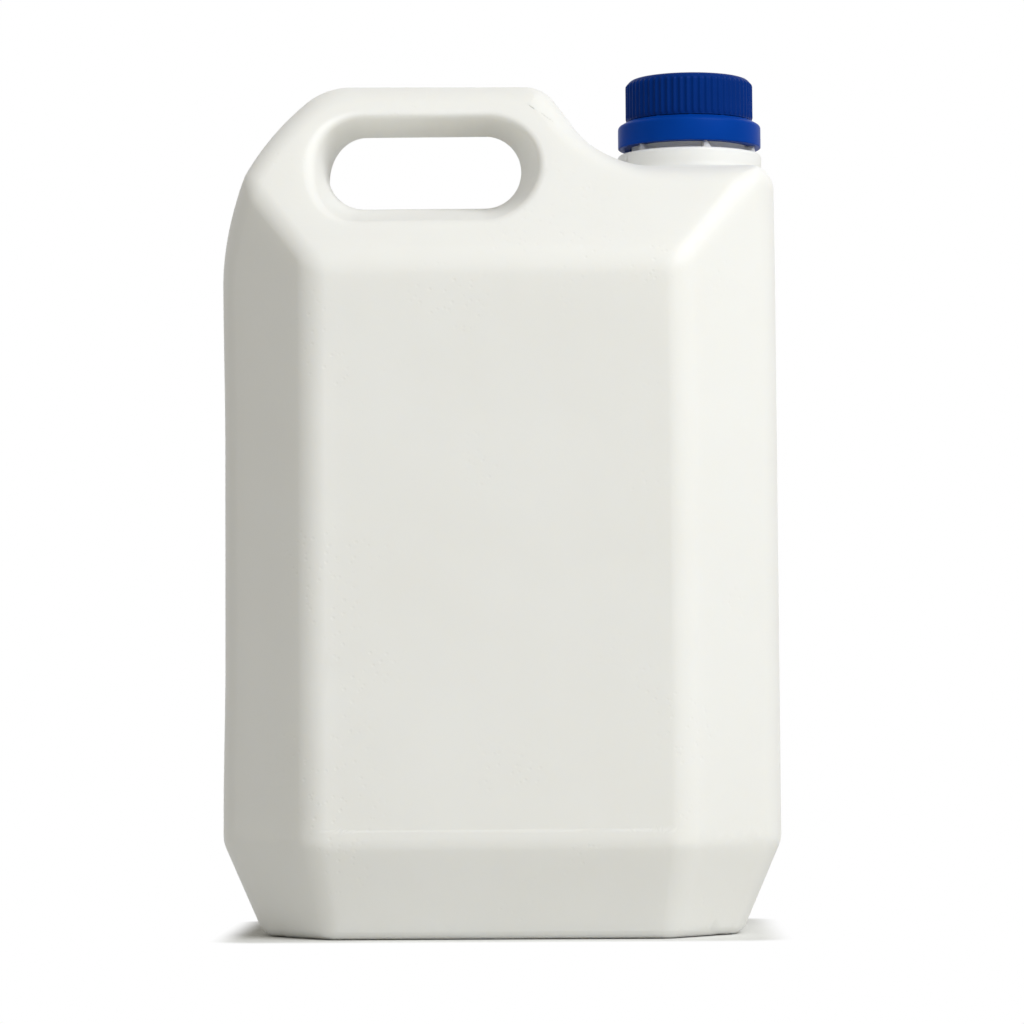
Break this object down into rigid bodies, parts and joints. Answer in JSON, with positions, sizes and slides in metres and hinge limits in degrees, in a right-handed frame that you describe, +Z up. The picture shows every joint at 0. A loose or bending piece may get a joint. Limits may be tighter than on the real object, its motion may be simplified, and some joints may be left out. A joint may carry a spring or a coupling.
{
  "type": "plastic jerrycan",
  "caption": "Blown plastic canister with an octagonal body, tapered foot, sloped shoulder, through-hole handle and a ribbed screw cap over a tamper ring.",
  "frame": {"origin": "middle of the foot, on the floor plane", "axes": "+Z up; the broad front panel faces -Y; the neck stands toward +X and the handle toward -X"},
  "size_m": [0.1824, 0.13, 0.2848],
  "materials": {
    "blown_polyethylene": "blow-moulded natural white, satin",
    "closure_plastic": "injection-moulded deep blue, semi-gloss",
    "liner_foam": "foamed polyethylene, matt"
  },
  "bodies": {
    "canister": {"canister": "blown_polyethylene", "tamper_ring": "closure_plastic"},
    "liner": {"cap_liner": "liner_foam"},
    "cap": {"screw_cap": "closure_plastic"}
  },
  "joints": [
    {"name": "cap_lift", "type": "slide", "parent": "canister", "child": "liner", "axis": [0, 0, 1], "range_m": [0, 0.006]},
    {"name": "cap_turn", "type": "hinge", "parent": "liner", "child": "cap", "pos_m": [0.064, 0, 0.275], "axis": [0, 0, 1], "range_deg": [0, 540]}
  ],
  "couplings": [
    {"joint": "cap_lift", "follows": "cap_turn", "m_per_rad": 0.000636}
  ]
}
